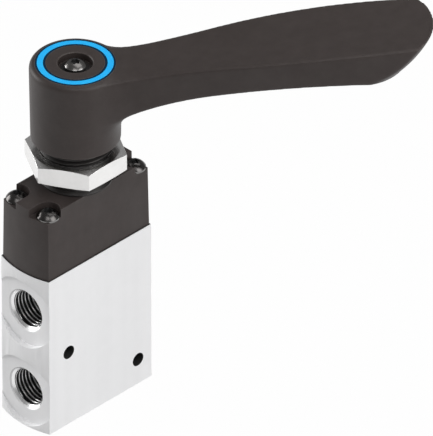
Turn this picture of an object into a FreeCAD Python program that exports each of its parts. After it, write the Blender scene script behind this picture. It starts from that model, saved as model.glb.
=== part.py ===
import FreeCAD, Part
import math
import os
import re
import Sketcher

# Hand lever air valve: a slim 3/2 spool valve with an axial lever head for panel mounting.
# Origin: middle of the body's bottom face, on the spindle axis. X is the body's width, Y its
# depth with the two front ports towards -Y, Z is up along the spindle and the spool.
# All sizes in millimetres. A bore, port, hole or thread size is a diameter.

sizes = {
    # valve body
    "bodyWidth": 20.0,
    "bodyDepth": 42.4,
    "bodyHeight": 55.0,
    "frontBulge": 1.8,
    "lowerPortHeight": 11.7,
    "upperPortDrop": 15.0,
    "portThread": 13.16,
    "portMouth": 14.0,
    "portDepth": 11.0,
    "spotFace": 23.3,
    "spotDepth": 0.15,
    "flowDrill": 6.8,
    "mountHole": 4.4,
    "frontHoleEdge": 8.1,
    "backHoleEdge": 5.6,
    "backHoleHeight": 8.7,
    "spoolBore": 11.0,
    "boreFloor": 4.0,
    "clipGrooveDepth": 0.55,
    # screws that clamp the head to the body
    "screwEdgeX": 3.55,
    "screwEdgeY": 3.35,
    "screwThread": 4.0,
    "screwEngagement": 9.0,
    "tapRunout": 1.5,
    "screwHead": 6.85,
    "headStep": 0.2,
    "screwFlange": 0.45,
    "screwDome": 2.0,
    "socketSize": 2.5,
    "socketDepth": 1.4,
    # gasket and actuator housing
    "gasketThickness": 0.5,
    "housingHeight": 22.6,
    "housingInset": 0.4,
    "housingDraft": 0.3,
    "pocketRadius": 3.75,
    "pocketDepth": 2.6,
    "sleeveWall": 1.4,
    "roofThickness": 2.6,
    "tabWidth": 3.0,
    "tabReach": 2.2,
    "tabHeight": 2.4,
    # panel bush, panel nut and seals round the spindle
    "bushThread": 22.0,
    "bushRise": 14.1,
    "bushChamfer": 0.6,
    "spigotDiameter": 16.0,
    "sealSeat": 15.2,
    "sealSeatDepth": 2.2,
    "panelGap": 5.2,
    "nutFlats": 27.0,
    "nutThickness": 5.6,
    "nutChamfer": 0.6,
    "nutFaceInset": 0.3,
    "lipThickness": 0.8,
    "lipFlare": 1.0,
    "lipRecess": 0.2,
    "lipBevel": 0.4,
    "lipLand": 0.3,
    "thrustWasher": 19.2,
    "stopPin": 1.5,
    "stopPinRadius": 6.6,
    "stopPinDepth": 1.9,
    # spindle
    "spindleDiameter": 10.0,
    "spindleFlange": 15.2,
    "spindleFlangeThickness": 2.1,
    "spindleFlats": 7.0,
    "spindleRingWidth": 1.4,
    "spindleSpigot": 6.0,
    "leverTravel": 90.0,
    # hub and lever
    "hubGap": 0.9,
    "hubHeight": 25.5,
    "hubBaseDiameter": 26.7,
    "hubTopDiameter": 27.4,
    "hubRounding": 1.8,
    "hubWall": 2.3,
    "hubBoss": 15.2,
    "hubRoof": 6.2,
    "hollowDrop": 2.0,
    "ringOuter": 22.8,
    "ringInner": 18.8,
    "ringThickness": 0.8,
    "recessDiameter": 10.4,
    "recessDepth": 2.4,
    "washerDiameter": 8.6,
    "washerThickness": 0.5,
    "leverScrewHead": 6.2,
    "leverScrewFlange": 0.3,
    "leverScrewDome": 1.4,
    "leverScrewLength": 14.0,
    "leverReach": 105.0,
    "leverAngle": 45.0,
    "armRoot": 5.0,
    "armTopRoot": 3.9,
    "armTopTip": 14.3,
    "armTopRadius": 545.0,
    "armUndersideRoot": 17.4,
    "armUndersideTip": 2.15,
    "armUndersideReach": 88.0,
    "armUndersideRadius": 186.0,
    "armWidth": 27.6,
    "armWidest": 80.5,
    "armSideRadius": 250.0,
    "neckWidth": 17.36,
    "neckEnd": 18.0,
    "neckRadius": 140.0,
    "bowAxis": 82.2,
    "bowLowRadius": 14.85,
    "bowCurve": 16.0,
    "edgeRounding": 1.0,
    "neckBlend": 2.5,
    "tipOver": 5.0,
    # cam drive between spindle and spool
    "spoolStroke": 4.0,
    "barrelDiameter": 13.4,
    "barrelWall": 2.15,
    "barrelRise": 2.0,
    "barrelWeb": 4.8,
    "drivePin": 2.0,
    "crossPin": 2.0,
    "crossPinRise": 5.5,
    "pinInset": 0.2,
    "rollerDiameter": 3.0,
    "slotHeight": 3.54,
    "plungerAbovePin": 3.5,
    "plungerBelowPin": 6.4,
    "plungerChamfer": 0.5,
    # spool, cages and seals
    "spoolDiameter": 6.0,
    "spoolWaist": 3.8,
    "spoolTail": 4.4,
    "spoolStud": 4.0,
    "studLength": 5.5,
    "lockNutFlats": 7.0,
    "lockNutThickness": 2.0,
    "landInset": 1.0,
    "waistInset": 0.6,
    "waistSlope": 0.8,
    "sealSection": 2.4,
    "cageBore": 8.6,
    "cageLip": 1.2,
    "cageWindow": 4.5,
    "topSealRise": 7.075,
    "bumperThickness": 1.0,
    "retainerThickness": 2.2,
    "clipThickness": 1.0,
    "clipReach": 0.7,
    "clipOpening": 3.0,
    # clearances
    "runningGap": 0.05,
    "looseGap": 0.1,
    "screwGap": 0.15,
    "pinGap": 0.02,
    # how far a cutting form reaches past the face it cuts
    "overcut": 1.0,
}
# Sizes that follow from the ones above
following = {
    "upperPortHeight": "(bodyHeight - upperPortDrop)",
    "frontHoleHeight": "((lowerPortHeight + upperPortHeight) / 2)",
    "frontHoleOffset": "(bodyDepth / 2 - frontHoleEdge)",
    "backHoleOffset": "(bodyDepth / 2 - backHoleEdge)",
    "screwSpanX": "(bodyWidth - 2 * screwEdgeX)",
    "screwSpanY": "(bodyDepth - 2 * screwEdgeY)",
    "cavityBore": "(barrelDiameter + 2 * sleeveWall + 4 * runningGap)",
    "barrelBore": "(barrelDiameter - 2 * barrelWall)",
    "barrelBase": "(bodyHeight + barrelRise)",
    "crossPinHeight": "(bodyHeight + crossPinRise)",
}

doc = FreeCAD.newDocument("hand_lever_valve")
sheet = doc.addObject("Spreadsheet::Sheet", "Sizes")
for row, (alias, value) in enumerate(sizes.items(), start=1):
    sheet.set("A%d" % row, alias)
    sheet.set("B%d" % row, str(value))
    sheet.setAlias("B%d" % row, alias)
trialCell = "D%d" % (len(sizes) + 2)
doc.recompute()


def formula(text):
    """A formula over the sheet's aliases, with each alias named in full."""
    def inFull(match):
        word = match.group(0)
        if word in following:
            return formula(following[word])
        return "Sizes." + word if word in sizes else word
    return re.sub(r"[A-Za-z]+", inFull, text)


def valueOf(text):
    """The present value of a formula, worked out by the sheet itself."""
    sheet.set(trialCell, "=" + formula(text).replace("Sizes.", ""))
    sheet.recompute()
    value = float(sheet.get(trialCell))
    sheet.clear(trialCell)
    return value


def bind(piece, **formulas):
    for prop, text in formulas.items():
        piece.setExpression(prop, formula(text))
    return piece


def place(piece, x="0", y="0", z="0", turn=None):
    """Puts a piece at bound coordinates; turn is an axis and an angle in degrees."""
    if turn:
        axis, angle = turn
        piece.Placement.Rotation = FreeCAD.Rotation(FreeCAD.Vector(*axis), angle)
    for coordinate, text in zip("xyz", (x, y, z)):
        piece.setExpression("Placement.Base." + coordinate, formula(text))
    return piece


directions = {
    "X": ((0, 1, 0), 90),
    "Y": ((1, 0, 0), -90),
    "-Y": ((1, 0, 0), 90),
    "Z": None,
}


def rod(name, diameter, length, x="0", y="0", z="0", along="Z"):
    """A cylinder that starts at x, y, z and runs along one axis."""
    piece = doc.addObject("Part::Cylinder", name)
    bind(piece, Radius="(%s) / 2" % diameter, Height=length)
    return place(piece, x, y, z, directions[along])


def cone(name, startDiameter, endDiameter, length, x="0", y="0", z="0", along="Z"):
    piece = doc.addObject("Part::Cone", name)
    bind(piece, Radius1="(%s) / 2" % startDiameter, Radius2="(%s) / 2" % endDiameter, Height=length)
    return place(piece, x, y, z, directions[along])


def block(name, low, high):
    """A box between two bound corners."""
    piece = doc.addObject("Part::Box", name)
    for prop, start, end in zip(("Length", "Width", "Height"), low, high):
        piece.setExpression(prop, formula("(%s) - (%s)" % (end, start)))
    return place(piece, *low)


def hexBar(name, flats, length, x="0", y="0", z="0", angle=0):
    """A hexagonal bar; at angle 30 two of its flats face +X and -X."""
    piece = doc.addObject("Part::Prism", name)
    piece.Polygon = 6
    bind(piece, Circumradius="(%s) / sqrt(3)" % flats, Height=length)
    return place(piece, x, y, z, ((0, 0, 1), angle))


def common(name, first, second):
    piece = doc.addObject("Part::Common", name)
    piece.Base = first
    piece.Tool = second
    return piece


def fuse(name, pieces):
    piece = doc.addObject("Part::MultiFuse", name)
    piece.Shapes = pieces
    return piece


def cut(name, base, tools):
    piece = doc.addObject("Part::Cut", name)
    piece.Base = base
    piece.Tool = tools[0] if len(tools) == 1 else fuse(name + "Tools", tools)
    return piece


def group(name, pieces):
    """Identical pieces kept together as separate solids."""
    piece = doc.addObject("Part::Compound", name)
    piece.Links = pieces
    return piece


def newSketch(body, name, plane):
    sketch = body.newObject("Sketcher::SketchObject", name)
    origin = [item for item in body.Origin.OriginFeatures if item.Role == plane][0]
    sketch.AttachmentSupport = [(origin, "")]
    sketch.MapMode = "FlatFace"
    return sketch


def arcBetween(start, end, radius, side):
    """Arc from start to end that bulges to the right of the way at side 1, to the left at -1."""
    chord = end - start
    toRight = FreeCAD.Vector(chord.y, -chord.x, 0).normalize() * side
    depth = (radius * radius - chord.Length * chord.Length / 4) ** 0.5
    centre = (start + end) / 2 - toRight * depth
    first, last = (start, end) if side > 0 else (end, start)
    angles = [math.atan2(point.y - centre.y, point.x - centre.x) for point in (first, last)]
    if angles[1] <= angles[0]:
        angles[1] += 2 * math.pi
    return Part.ArcOfCircle(Part.Circle(centre, FreeCAD.Vector(0, 0, 1), radius), *angles)


def outline(sketch, corners):
    """Adds a closed outline. A corner is (across, up), both formulas. A third and fourth
    entry, a radius formula and a side, make the stretch to the next corner an arc."""
    points = [FreeCAD.Vector(valueOf(corner[0]), valueOf(corner[1]), 0) for corner in corners]
    edges = []
    for corner, start, end in zip(corners, points, points[1:] + points[:1]):
        if len(corner) == 2:
            edges.append((sketch.addGeometry(Part.LineSegment(start, end)), 1, 2))
            continue
        radius = valueOf(corner[2])
        edge = sketch.addGeometry(arcBetween(start, end, radius, corner[3]))
        edges.append((edge, 1, 2) if corner[3] > 0 else (edge, 2, 1))
        bound = sketch.addConstraint(Sketcher.Constraint("Radius", edge, radius))
        bindConstraint(sketch, bound, corner[2])
    for this, following in zip(edges, edges[1:] + edges[:1]):
        sketch.addConstraint(Sketcher.Constraint("Coincident", this[0], this[2], following[0], following[1]))
    for (edge, first, last), corner, point in zip(edges, corners, points):
        for kind, text, value in (("DistanceX", corner[0], point.x), ("DistanceY", corner[1], point.y)):
            bound = sketch.addConstraint(Sketcher.Constraint(kind, -1, 1, edge, first, value))
            bindConstraint(sketch, bound, text)
    return sketch


def bindConstraint(sketch, index, text):
    name = "size%d" % index
    sketch.renameConstraint(index, name)
    sketch.setExpression("Constraints." + name, formula(text))


def turned(name, corners):
    """A piece turned about the Z axis from its half section: radius, height."""
    body = doc.addObject("PartDesign::Body", name)
    section = outline(newSketch(body, name + "Section", "XZ_Plane"), corners)
    turn = body.newObject("PartDesign::Revolution", name + "Turn")
    turn.Profile = section
    turn.ReferenceAxis = (section, ["V_Axis"])
    turn.Angle = 360
    return body


def ring(name, outer, inner, low, high):
    """A plain ring, its two diameters and two heights bound."""
    return turned(name, [
        ("(%s) / 2" % inner, low),
        ("(%s) / 2" % outer, low),
        ("(%s) / 2" % outer, high),
        ("(%s) / 2" % inner, high)])


# Heights of the stack
bodyTop = "bodyHeight"
housingBase = "(bodyHeight + gasketThickness)"
housingTop = "(bodyHeight + gasketThickness + housingHeight)"
spigotEnd = "(%s - roofThickness)" % housingTop
bushTop = "(%s + bushRise)" % housingTop
hubBase = "(%s + hubGap)" % bushTop
hubTop = "(%s + hubHeight)" % hubBase
pocketFloor = "(%s - pocketDepth)" % housingTop
recessFloor = "(%s - recessDepth)" % hubTop
spindleTop = "(%s - hubRoof)" % hubTop
flangeTop = "(%s - looseGap)" % spigotEnd
flangeBase = "(%s - spindleFlangeThickness)" % flangeTop
barrelTop = "(%s - runningGap)" % flangeBase
webBase = "(%s - barrelWeb)" % barrelTop
drivePinHeight = "(%s - barrelWeb / 2)" % barrelTop
sleeveTop = "(%s - looseGap)" % flangeBase
nutBase = "(%s + panelGap)" % housingTop
backPortHeight = "((lowerPortHeight + upperPortHeight) / 2)"
cagePitch = "((upperPortHeight - lowerPortHeight) / 2)"
frontPlane = "(0 - bodyDepth / 2)"
corners = [(x, y) for x in (1, -1) for y in (1, -1)]


def bulgedBlock(name, inset, base, height, draft):
    """The slim block of body, gasket and housing: flat sides and back, bulged front."""
    halfWidth = "(bodyWidth / 2 - %s)" % inset
    halfDepth = "(bodyDepth / 2 - %s)" % inset
    radius = "((%s * %s + frontBulge * frontBulge) / (2 * frontBulge))" % (halfWidth, halfWidth)
    wedge = doc.addObject("Part::Wedge", name + "Block")
    bind(wedge,
         Xmin="0 - %s" % halfWidth, Xmax=halfWidth,
         X2min="%s - %s" % (draft, halfWidth), X2max="%s - %s" % (halfWidth, draft),
         Zmin="0 - %s" % halfDepth, Zmax="%s + frontBulge" % halfDepth,
         Z2min="%s - %s" % (draft, halfDepth), Z2max="%s + frontBulge - %s" % (halfDepth, draft),
         Ymin="0", Ymax=height)
    place(wedge, z=base, turn=((1, 0, 0), 90))
    front = cone(name + "Front", "2 * %s" % radius, "2 * (%s - %s)" % (radius, draft), height,
                 y="%s - %s - frontBulge" % (radius, halfDepth), z=base)
    return common(name + "Form", wedge, front)


def makeValveBody():
    form = bulgedBlock("body", "0", "0", "bodyHeight", "0")
    tools = [rod("spoolBoreHole", "spoolBore", "bodyHeight", z="boreFloor")]
    clipSeat = "%s - looseGap" % clipBase
    tools.append(rod("clipGroove", "spoolBore + 2 * clipGrooveDepth", "clipThickness + 2 * looseGap",
                     z=clipSeat))
    mouth = "((portMouth - portThread) / 2)"
    spotPlane = "(%s + spotDepth)" % frontPlane
    for name, height in (("lower", "lowerPortHeight"), ("upper", "upperPortHeight")):
        tools.append(rod(name + "SpotFace", "spotFace", "frontBulge + bodyWidth",
                         y=spotPlane, z=height, along="-Y"))
        tools.append(rod(name + "PortHole", "portThread", "portDepth", y=spotPlane, z=height, along="Y"))
        tools.append(cone(name + "PortMouth", "portMouth", "portThread", mouth,
                          y=spotPlane, z=height, along="Y"))
        tools.append(rod(name + "PortDrill", "flowDrill", "0 - %s" % spotPlane,
                         y=spotPlane, z=height, along="Y"))
    backPlane = "bodyDepth / 2"
    tools.append(rod("backPortHole", "portThread", "portDepth", y=backPlane, z=backPortHeight, along="-Y"))
    tools.append(cone("backPortMouth", "portMouth", "portThread", mouth,
                      y=backPlane, z=backPortHeight, along="-Y"))
    tools.append(rod("backPortDrill", "flowDrill", backPlane, y=backPlane, z=backPortHeight, along="-Y"))
    across = {"length": "bodyWidth + 2 * overcut", "x": "0 - bodyWidth / 2 - overcut", "along": "X"}
    tools.append(rod("frontMountHole", "mountHole", y="0 - frontHoleOffset", z="frontHoleHeight", **across))
    tools.append(rod("backMountHole", "mountHole", y="backHoleOffset", z="backHoleHeight", **across))
    for number, (x, y) in enumerate(corners):
        tools.append(rod("tappedHole%d" % number, "screwThread + 2 * runningGap",
                         "screwEngagement + tapRunout + overcut", x="%d * screwSpanX / 2" % x,
                         y="%d * screwSpanY / 2" % y, z="bodyHeight - screwEngagement - tapRunout"))
    cut("valve_body", form, tools)


def sleeveClearance(name, base, height, gap):
    """The round opening with two side notches that the guide sleeve stands in."""
    well = rod(name + "Well", "cavityBore", height, z=base)
    reach = "(cavityBore / 2 + tabReach + %s)" % gap
    notch = block(name + "Notch", ("0 - tabWidth / 2 - %s" % gap, "0 - " + reach, base),
                  ("tabWidth / 2 + %s" % gap, reach, "%s + %s" % (base, height)))
    return well, notch


def makeGasket():
    form = bulgedBlock("gasket", "0", "bodyHeight", "gasketThickness", "0")
    through = "(gasketThickness + 2 * overcut)"
    well, notch = sleeveClearance("gasket", "(bodyHeight - overcut)", through, "looseGap")
    holes = [rod("gasketHole%d" % number, "screwThread + 2 * screwGap", through,
                 x="%d * screwSpanX / 2" % x, y="%d * screwSpanY / 2" % y, z="bodyHeight - overcut")
             for number, (x, y) in enumerate(corners)]
    cut("housing_gasket", form, [well, notch] + holes)


def makeHousing():
    form = bulgedBlock("housing", "housingInset", housingBase, "housingHeight", "housingDraft")
    well, notch = sleeveClearance("housing", "(%s - overcut)" % housingBase, "(1 + tabHeight)", "looseGap")
    cavity = rod("housingCavity", "cavityBore", "housingHeight - roofThickness", z=housingBase)
    spigotHole = rod("spigotHole", "spigotDiameter + 2 * runningGap", "housingHeight", z=housingBase)
    tools = [well, notch, cavity, spigotHole]
    for number, (x, y) in enumerate(corners):
        screwX = "(%d * screwSpanX / 2)" % x
        screwY = "(%d * screwSpanY / 2)" % y
        tools.append(rod("housingHole%d" % number, "screwThread + 2 * screwGap", "housingHeight",
                         x=screwX, y=screwY, z=housingBase))
        tools.append(rod("pocketRound%d" % number, "2 * pocketRadius", "pocketDepth + overcut",
                         x=screwX, y=screwY, z=pocketFloor))
        sideways = ["%s - %d * pocketRadius" % (screwX, x), "%d * bodyWidth" % x]
        outward = [screwY, "%d * bodyDepth" % y]
        low = (sideways[0] if x > 0 else sideways[1], outward[0] if y > 0 else outward[1], pocketFloor)
        high = (sideways[1] if x > 0 else sideways[0], outward[1] if y > 0 else outward[0],
                "%s + overcut" % housingTop)
        tools.append(block("pocketRun%d" % number, low, high))
    cut("actuator_housing", form, tools)


def domedScrew(name, thread, head, flange, dome, seat, end):
    """A button head screw: flange, dome and shank. seat and end are heights."""
    domeRadius = "((%s) / 2 - headStep)" % head
    domeBase = "(%s + %s)" % (seat, flange)
    curve = "((%s * %s + (%s) * (%s)) / (2 * (%s)))" % (domeRadius, domeRadius, dome, dome, dome)
    return turned(name, [
        ("0", end),
        ("(%s) / 2" % thread, end),
        ("(%s) / 2" % thread, seat),
        ("(%s) / 2" % head, seat),
        ("(%s) / 2" % head, domeBase),
        (domeRadius, domeBase, curve, 1),
        ("0", "%s + %s" % (domeBase, dome))])


def makeHousingScrews():
    screws = []
    sockets = []
    for number, (x, y) in enumerate(corners):
        screw = domedScrew("housingScrew%d" % number, "screwThread", "screwHead", "screwFlange",
                           "screwDome", pocketFloor, "(bodyHeight - screwEngagement)")
        screws.append(place(screw, x="%d * screwSpanX / 2" % x, y="%d * screwSpanY / 2" % y))
        sockets.append(hexBar("housingSocket%d" % number, "socketSize", "socketDepth + overcut",
                              x="%d * screwSpanX / 2" % x, y="%d * screwSpanY / 2" % y,
                              z="%s + screwFlange + screwDome - socketDepth" % pocketFloor))
    cut("housing_screws", group("screwSet", screws), sockets)


def makeBushAndNut():
    threadRadius = "(bushThread / 2)"
    bush = turned("bushTurned", [
        ("spindleDiameter / 2 + runningGap", spigotEnd),
        ("spigotDiameter / 2", spigotEnd),
        ("spigotDiameter / 2", housingTop),
        (threadRadius, housingTop),
        (threadRadius, "%s - bushChamfer" % bushTop),
        (threadRadius + " - bushChamfer", bushTop),
        ("sealSeat / 2", bushTop),
        ("sealSeat / 2", "%s - sealSeatDepth" % bushTop),
        ("spindleDiameter / 2 + runningGap", "%s - sealSeatDepth" % bushTop)])
    pinHole = rod("stopPinHole", "stopPin + 2 * runningGap", "stopPinDepth",
                  x="stopPinRadius", z=spigotEnd)
    cut("panel_bush", bush, [pinHole])
    rod("stop_pin", "stopPin", "stopPinDepth + spindleFlangeThickness - looseGap",
        x="stopPinRadius", z="%s + looseGap - spindleFlangeThickness" % spigotEnd)
    lipRadius = "(spindleDiameter / 2 + runningGap)"
    turned("dust_seal", [
        (lipRadius + " + lipThickness", "%s - sealSeatDepth + runningGap" % bushTop),
        ("sealSeat / 2 - runningGap", "%s - sealSeatDepth + runningGap" % bushTop),
        ("sealSeat / 2 - runningGap", "%s - lipRecess" % bushTop),
        (lipRadius + " + lipFlare", "%s - lipRecess" % bushTop),
        (lipRadius, "%s - lipRecess - lipBevel" % bushTop),
        (lipRadius, "%s - lipRecess - lipBevel - lipLand" % bushTop)])
    cornerRadius = "(nutFlats / sqrt(3))"
    flatRadius = "(nutFlats / 2 - nutFaceInset)"
    nutTop = "(%s + nutThickness)" % nutBase
    nutForm = turned("nutForm", [
        ("bushThread / 2 + runningGap", nutBase),
        (flatRadius, nutBase),
        (cornerRadius + " + runningGap", "%s + nutChamfer" % nutBase),
        (cornerRadius + " + runningGap", "%s - nutChamfer" % nutTop),
        (flatRadius, nutTop),
        ("bushThread / 2 + runningGap", nutTop)])
    bar = hexBar("nutBar", "nutFlats", "nutThickness", z=nutBase, angle=30)
    common("panel_nut", bar, nutForm)


def makeSpindle():
    radius = "(spindleDiameter / 2)"
    drive = "(spindleDiameter / 2 - runningGap)"
    grooveMiddle = "((%s + %s) / 2)" % (spigotEnd, bushTop)
    grooveHalf = "(spindleRingWidth / 2 + looseGap)"
    grooveRadius = "(spindleDiameter / 2 - spindleRingWidth)"
    shaft = turned("spindleShaft", [
        ("0", "%s + looseGap" % webBase),
        ("spindleSpigot / 2", "%s + looseGap" % webBase),
        ("spindleSpigot / 2", flangeBase),
        ("spindleFlange / 2", flangeBase),
        ("spindleFlange / 2", flangeTop),
        (radius, flangeTop),
        (radius, "%s - %s" % (grooveMiddle, grooveHalf)),
        (grooveRadius, "%s - %s" % (grooveMiddle, grooveHalf)),
        (grooveRadius, "%s + %s" % (grooveMiddle, grooveHalf)),
        (radius, "%s + %s" % (grooveMiddle, grooveHalf)),
        (radius, hubBase),
        (drive, hubBase),
        (drive, spindleTop),
        ("0", spindleTop)])
    flats = [block("driveFlat%d" % (side + 1),
                   ("0 - spindleDiameter", "%s" % ("spindleFlats / 2" if side > 0 else "0 - spindleDiameter"),
                    hubBase),
                   ("spindleDiameter", "%s" % ("spindleDiameter" if side > 0 else "0 - spindleFlats / 2"),
                    "%s + overcut" % spindleTop))
             for side in (1, -1)]
    tapped = rod("leverScrewHole", "screwThread + 2 * runningGap", "leverScrewLength",
                 z="%s - leverScrewLength" % hubTop)
    pinHole = rod("drivePinHoleInSpindle", "drivePin + 2 * pinGap", "barrelDiameter",
                  x="0 - barrelDiameter / 2", z=drivePinHeight, along="X")
    # The flange has a slot that the stop pin runs in: it ends the lever's travel at both ends.
    sector = doc.addObject("Part::Cylinder", "stopSector")
    halfPin = "asin((stopPin / 2 + looseGap) / stopPinRadius) / 1 deg"
    bind(sector, Radius="spindleFlange / 2 + overcut", Height="spindleFlangeThickness + overcut",
         Angle="(leverTravel + 2 * %s) * 1 deg" % halfPin)
    place(sector, z="%s - overcut / 2" % flangeBase)
    bind(sector, **{"Placement.Rotation.Angle": "(0 - leverTravel - %s) * 1 deg" % halfPin})
    core = rod("stopSectorCore", "2 * (stopPinRadius - stopPin / 2 - looseGap)",
               "spindleFlangeThickness + overcut", z="%s - overcut / 2" % flangeBase)
    stopSlot = cut("stopSlot", sector, [core])
    cut("spindle", shaft, flats + [tapped, pinHole, stopSlot])
    sealRing = doc.addObject("Part::Torus", "spindle_o_ring")
    bind(sealRing, Radius1="(spindleDiameter - spindleRingWidth + runningGap) / 2",
         Radius2="spindleRingWidth / 2")
    place(sealRing, z=grooveMiddle)
    ring("thrust_washer", "thrustWasher", "spindleDiameter + 2 * looseGap",
         "%s + runningGap" % bushTop, "%s - runningGap" % hubBase)


def neckEdges(shape):
    """The edges where the neck meets the hub's side, without the hub's own seam."""
    hubRadius = valueOf("hubTopDiameter / 2")
    neckHalf = valueOf("neckWidth / 2")
    found = []
    for number, edge in enumerate(shape.Edges, start=1):
        box = edge.BoundBox
        sideways = max(abs(box.YMin), abs(box.YMax))
        onHub = box.XMin > hubRadius / 2 and box.XMax < hubRadius + 0.1
        if onHub and 0.1 < sideways < neckHalf + 0.1:
            found.append("Edge%d" % number)
    return found


# Where the grip's outer arc meets the neck's arc, and how wide the arm is there
neckJoin = "(neckEnd + (armWidest - neckEnd) * neckRadius / (neckRadius + armSideRadius))"
neckJoinHalf = ("(armWidth / 2 - armSideRadius + sqrt(armSideRadius * armSideRadius"
                " - (armWidest - %s) * (armWidest - %s)))" % (neckJoin, neckJoin))
tipHalf = ("(armWidth / 2 - armSideRadius + sqrt(armSideRadius * armSideRadius"
           " - (leverReach + tipOver - armWidest) * (leverReach + tipOver - armWidest)))")


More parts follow.
